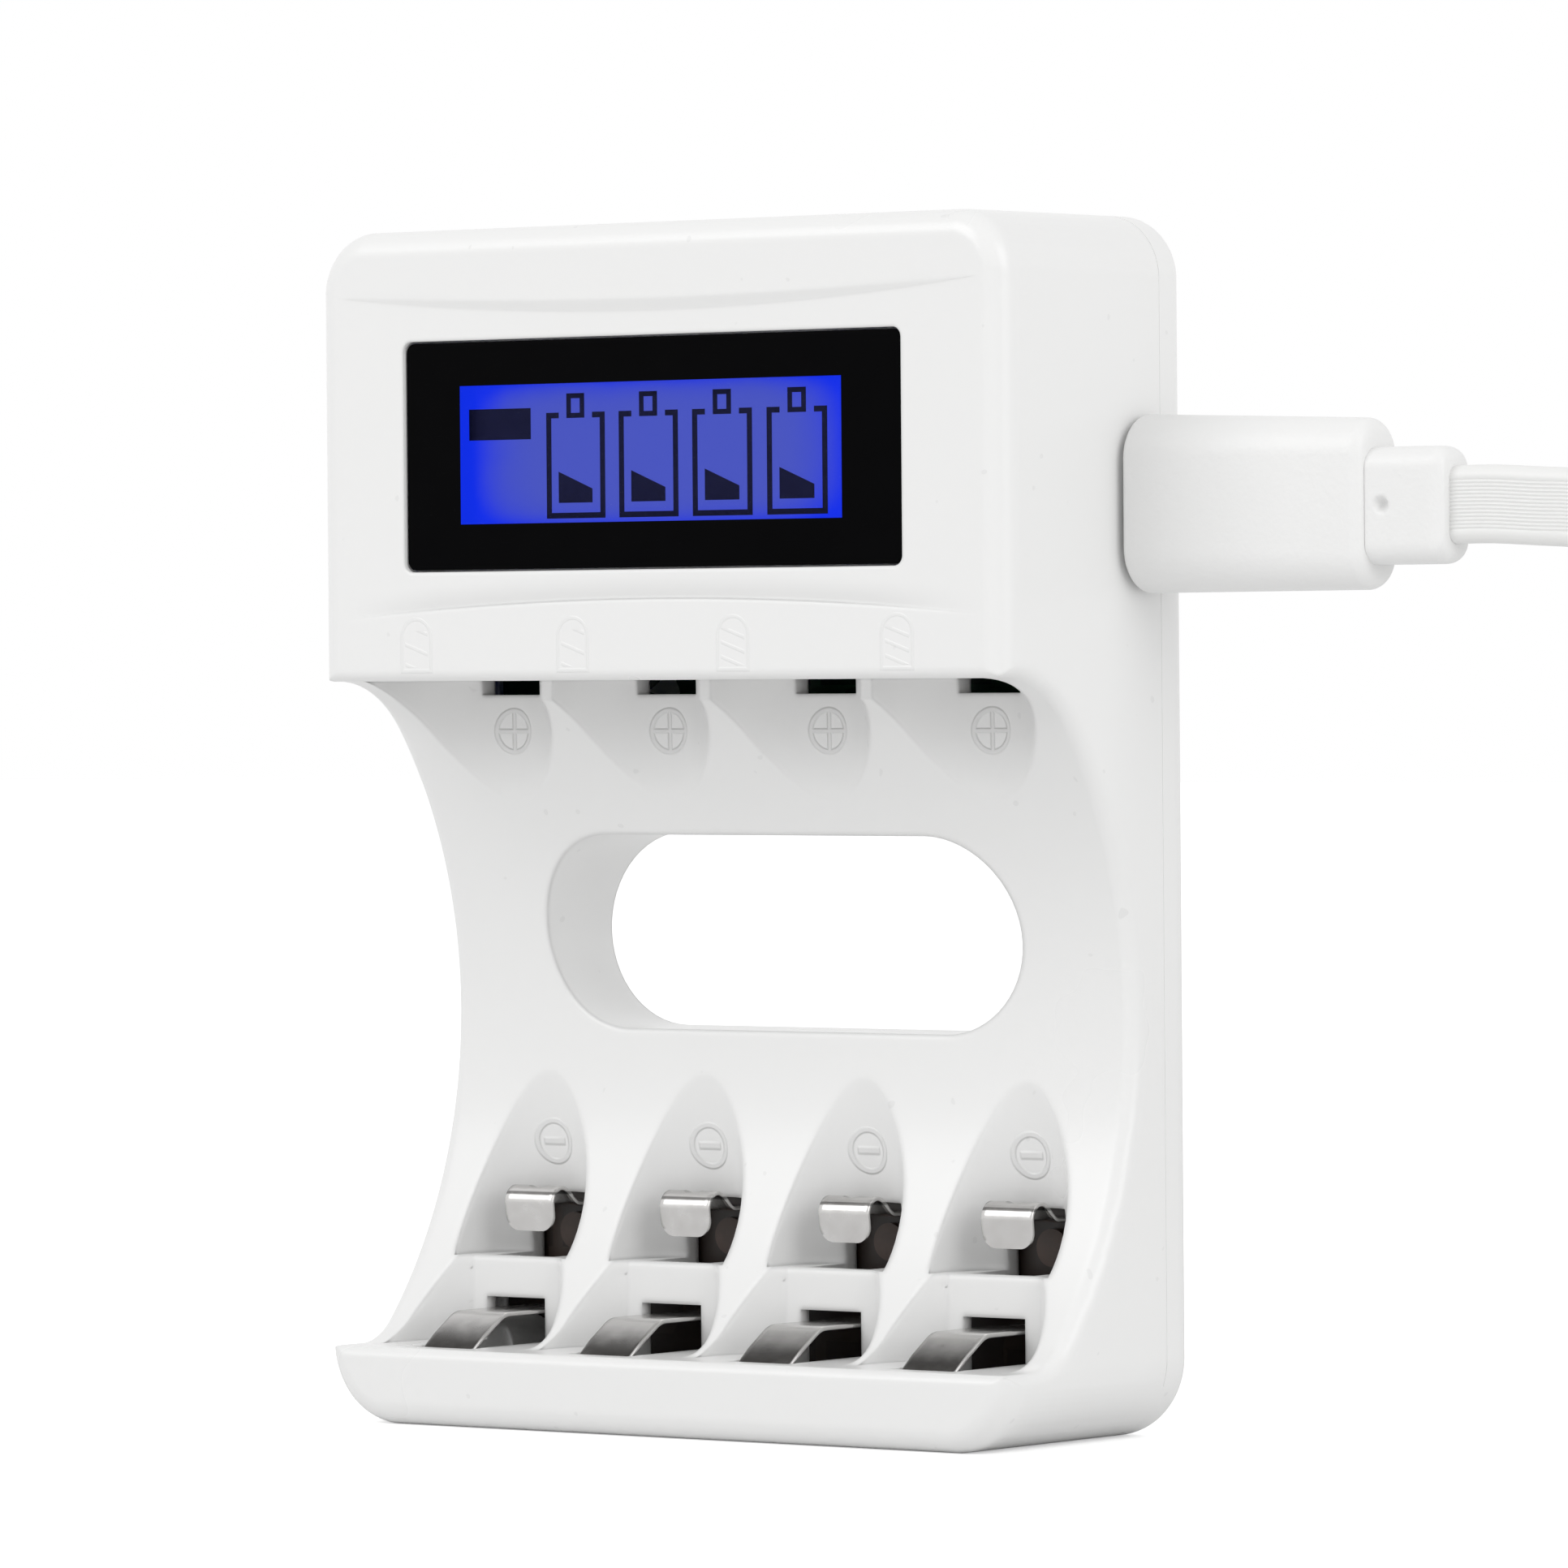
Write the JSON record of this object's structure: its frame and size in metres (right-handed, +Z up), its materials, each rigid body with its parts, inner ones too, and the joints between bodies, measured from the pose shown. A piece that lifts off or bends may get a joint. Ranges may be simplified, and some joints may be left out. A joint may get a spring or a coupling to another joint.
{
  "type": "battery charger",
  "caption": "Upright desk charger for AA and AAA cells with a blue display, an open battery bay with spring contacts, a finger slot and a flat cable plugged into its side.",
  "frame": {"origin": "middle of the charger's base, without the cable", "axes": "+X to the charger's right seen from the front, where the socket is; +Y to the back; +Z up"},
  "size_m": [0.1721, 0.0687, 0.0956],
  "materials": {
    "housing_white": "gloss",
    "window_black": "gloss, clear in the middle",
    "display_blue": "lit liquid crystal",
    "guide_clear": "frosted",
    "rubber_pink": "matte",
    "board_green": "satin",
    "plastic_dark": "matte",
    "choke_grey": "satin",
    "can_metal": "satin",
    "sensor_brown": "satin",
    "steel_plated": "plated",
    "contact_nickel": "nickel plated",
    "plug_white": "satin",
    "cable_white": "satin, ribbed",
    "tie_black": "matte"
  },
  "bodies": {
    "charger": {"front_housing": "housing_white", "rear_cover": "housing_white", "display_window": "window_black", "display_glass": "display_blue", "light_guide": "guide_clear", "contact_rubber": "rubber_pink", "display_board": "board_green", "board_link": "plastic_dark", "main_board": "board_green", "controller_chip": "plastic_dark", "choke": "choke_grey", "capacitors": "can_metal", "heat_sensors": "sensor_brown", "side_socket": "steel_plated", "cover_screws": "steel_plated", "display_screws": "steel_plated", "plus_contact_1": "contact_nickel", "plus_contact_2": "contact_nickel", "plus_contact_3": "contact_nickel", "plus_contact_4": "contact_nickel", "plug_body": "plug_white", "plug_shell": "steel_plated", "strain_relief": "plug_white", "cable": "cable_white", "cable_coil": "cable_white", "cable_tail": "cable_white", "cable_tie": "tie_black", "far_plug_body": "plug_white", "far_plug_shell": "steel_plated"},
    "aa_spring_1": {"aa_contact_1": "contact_nickel"},
    "aaa_spring_1": {"aaa_contact_1": "contact_nickel"},
    "aa_spring_2": {"aa_contact_2": "contact_nickel"},
    "aaa_spring_2": {"aaa_contact_2": "contact_nickel"},
    "aa_spring_3": {"aa_contact_3": "contact_nickel"},
    "aaa_spring_3": {"aaa_contact_3": "contact_nickel"},
    "aa_spring_4": {"aa_contact_4": "contact_nickel"},
    "aaa_spring_4": {"aaa_contact_4": "contact_nickel"}
  },
  "joints": [
    {"name": "aa_flex_1", "type": "hinge", "parent": "charger", "child": "aa_spring_1", "pos_m": [-0.024, 0.00705, 0.00863], "axis": [1, 0, 0], "range_deg": [0, 7], "stiffness_Nm_per_rad": 0.1},
    {"name": "aa_flex_2", "type": "hinge", "parent": "charger", "child": "aa_spring_2", "pos_m": [-0.008, 0.00705, 0.00863], "axis": [1, 0, 0], "range_deg": [0, 7], "stiffness_Nm_per_rad": 0.1},
    {"name": "aa_flex_3", "type": "hinge", "parent": "charger", "child": "aa_spring_3", "pos_m": [0.008, 0.00705, 0.00863], "axis": [1, 0, 0], "range_deg": [0, 7], "stiffness_Nm_per_rad": 0.1},
    {"name": "aa_flex_4", "type": "hinge", "parent": "charger", "child": "aa_spring_4", "pos_m": [0.024, 0.00705, 0.00863], "axis": [1, 0, 0], "range_deg": [0, 7], "stiffness_Nm_per_rad": 0.1},
    {"name": "aaa_flex_1", "type": "hinge", "parent": "charger", "child": "aaa_spring_1", "pos_m": [-0.024, 0.00705, 0.0171], "axis": [1, 0, 0], "range_deg": [0, 25], "stiffness_Nm_per_rad": 0.03},
    {"name": "aaa_flex_2", "type": "hinge", "parent": "charger", "child": "aaa_spring_2", "pos_m": [-0.008, 0.00705, 0.0171], "axis": [1, 0, 0], "range_deg": [0, 25], "stiffness_Nm_per_rad": 0.03},
    {"name": "aaa_flex_3", "type": "hinge", "parent": "charger", "child": "aaa_spring_3", "pos_m": [0.008, 0.00705, 0.0171], "axis": [1, 0, 0], "range_deg": [0, 25], "stiffness_Nm_per_rad": 0.03},
    {"name": "aaa_flex_4", "type": "hinge", "parent": "charger", "child": "aaa_spring_4", "pos_m": [0.024, 0.00705, 0.0171], "axis": [1, 0, 0], "range_deg": [0, 25], "stiffness_Nm_per_rad": 0.03}
  ]
}
